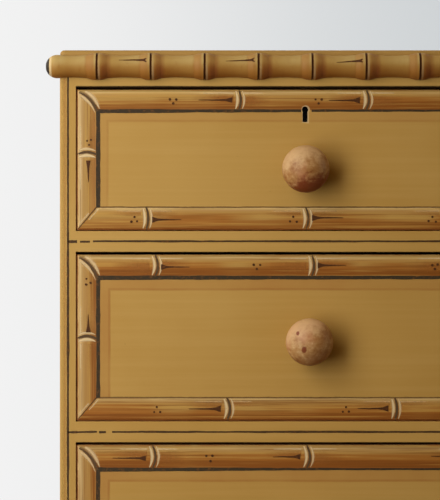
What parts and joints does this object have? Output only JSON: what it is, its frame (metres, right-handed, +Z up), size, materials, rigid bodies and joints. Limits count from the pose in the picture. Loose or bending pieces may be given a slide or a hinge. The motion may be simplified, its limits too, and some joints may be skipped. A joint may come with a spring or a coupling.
{
  "type": "chest of drawers",
  "caption": "Painted pine chest with short drawers over long ones, a simulated bamboo moulding along its top, turned knobs and turned feet; holds clothes and linen.",
  "frame": {"origin": "on the floor, at the middle of the whole footprint, knobs and moulding included", "axes": "+X to the viewer's right along the drawer fronts, +Y from front to back, +Z up"},
  "size_m": [1.0152, 0.509, 0.9714],
  "materials": {
    "ochre_paint": "brushed satin paint, worn",
    "bare_pine": "bare aged pine",
    "knob_wood": "worn, hand-polished",
    "brass": "aged, dull"
  },
  "bodies": {
    "carcass": {"side_panel_left": "ochre_paint", "side_panel_right": "ochre_paint", "top_board": "ochre_paint", "bottom_board": "bare_pine", "back_boards": "bare_pine", "top_rail": "ochre_paint", "drawer_rail_1": "ochre_paint", "drawer_rail_2": "ochre_paint", "drawer_rail_3": "ochre_paint", "bottom_rail": "ochre_paint", "centre_divider": "ochre_paint", "centre_runner": "bare_pine", "side_runners": "bare_pine", "kickers": "bare_pine", "drawer_stops": "bare_pine", "front_moulding": "ochre_paint", "front_left_foot": "ochre_paint", "front_right_foot": "ochre_paint", "back_left_foot": "ochre_paint", "back_right_foot": "ochre_paint", "foot_blocks": "bare_pine"},
    "short_left_drawer": {"short_left_front": "ochre_paint", "short_left_left_side": "bare_pine", "short_left_right_side": "bare_pine", "short_left_back": "bare_pine", "short_left_bottom": "bare_pine", "short_left_knob": "knob_wood", "short_left_lock_case": "brass"},
    "short_left_bolt": {"short_left_lock_bolt": "brass"},
    "short_right_drawer": {"short_right_front": "ochre_paint", "short_right_left_side": "bare_pine", "short_right_right_side": "bare_pine", "short_right_back": "bare_pine", "short_right_bottom": "bare_pine", "short_right_knob": "knob_wood", "short_right_lock_case": "brass"},
    "short_right_bolt": {"short_right_lock_bolt": "brass"},
    "long_upper_drawer": {"long_upper_front": "ochre_paint", "long_upper_left_side": "bare_pine", "long_upper_right_side": "bare_pine", "long_upper_back": "bare_pine", "long_upper_bottom": "bare_pine", "long_upper_left_knob": "knob_wood", "long_upper_right_knob": "knob_wood"},
    "long_middle_drawer": {"long_middle_front": "ochre_paint", "long_middle_left_side": "bare_pine", "long_middle_right_side": "bare_pine", "long_middle_back": "bare_pine", "long_middle_bottom": "bare_pine", "long_middle_left_knob": "knob_wood", "long_middle_right_knob": "knob_wood"},
    "long_lower_drawer": {"long_lower_front": "ochre_paint", "long_lower_left_side": "bare_pine", "long_lower_right_side": "bare_pine", "long_lower_back": "bare_pine", "long_lower_bottom": "bare_pine", "long_lower_left_knob": "knob_wood", "long_lower_right_knob": "knob_wood"}
  },
  "joints": [
    {"name": "short_left_slide", "type": "slide", "parent": "carcass", "child": "short_left_drawer", "axis": [0, -1, 0], "range_m": [0, 0.32]},
    {"name": "short_left_bolt_lift", "type": "slide", "parent": "short_left_drawer", "child": "short_left_bolt", "axis": [0, 0, 1], "range_m": [0, 0.007]},
    {"name": "short_right_slide", "type": "slide", "parent": "carcass", "child": "short_right_drawer", "axis": [0, -1, 0], "range_m": [0, 0.32]},
    {"name": "short_right_bolt_lift", "type": "slide", "parent": "short_right_drawer", "child": "short_right_bolt", "axis": [0, 0, 1], "range_m": [0, 0.007]},
    {"name": "long_upper_slide", "type": "slide", "parent": "carcass", "child": "long_upper_drawer", "axis": [0, -1, 0], "range_m": [0, 0.32]},
    {"name": "long_middle_slide", "type": "slide", "parent": "carcass", "child": "long_middle_drawer", "axis": [0, -1, 0], "range_m": [0, 0.32]},
    {"name": "long_lower_slide", "type": "slide", "parent": "carcass", "child": "long_lower_drawer", "axis": [0, -1, 0], "range_m": [0, 0.32]}
  ]
}
